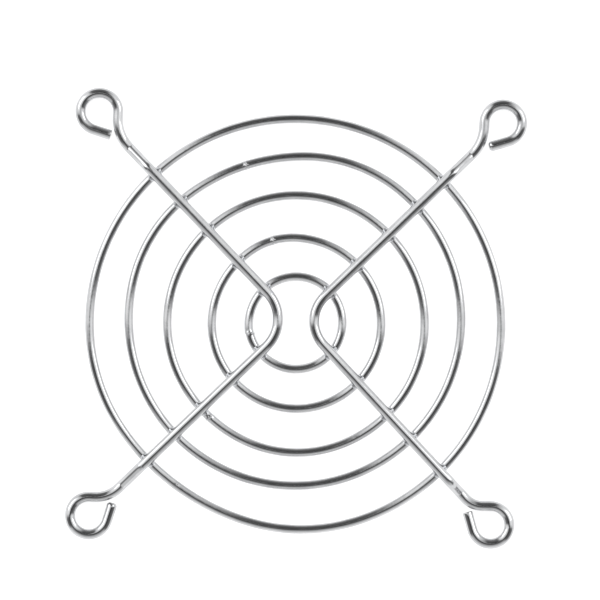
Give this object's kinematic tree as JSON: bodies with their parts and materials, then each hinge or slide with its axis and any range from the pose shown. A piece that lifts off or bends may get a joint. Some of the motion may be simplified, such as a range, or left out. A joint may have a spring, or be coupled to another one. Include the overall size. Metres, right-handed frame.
{
  "type": "wire fan guard",
  "caption": "Concentric wire rings welded under V-shaped wire legs whose ends step down and curl into open screw eyes, to cover a square axial fan.",
  "frame": {"origin": "middle of the four screw eyes, on the plane of the fan's face that the eyes lie on", "axes": "+Z away from the fan, through the rings and then the legs; +X from the left leg towards the right leg; +Y towards the rear eyes"},
  "size_m": [0.0802, 0.0802, 0.0049],
  "materials": {
    "chrome_plate": "bright chrome plating on round steel wire"
  },
  "bodies": {
    "root": {"ring_1": "chrome_plate", "ring_2": "chrome_plate", "ring_3": "chrome_plate", "ring_4": "chrome_plate", "ring_5": "chrome_plate", "leg_left": "chrome_plate", "leg_right": "chrome_plate"}
  },
  "joints": []
}
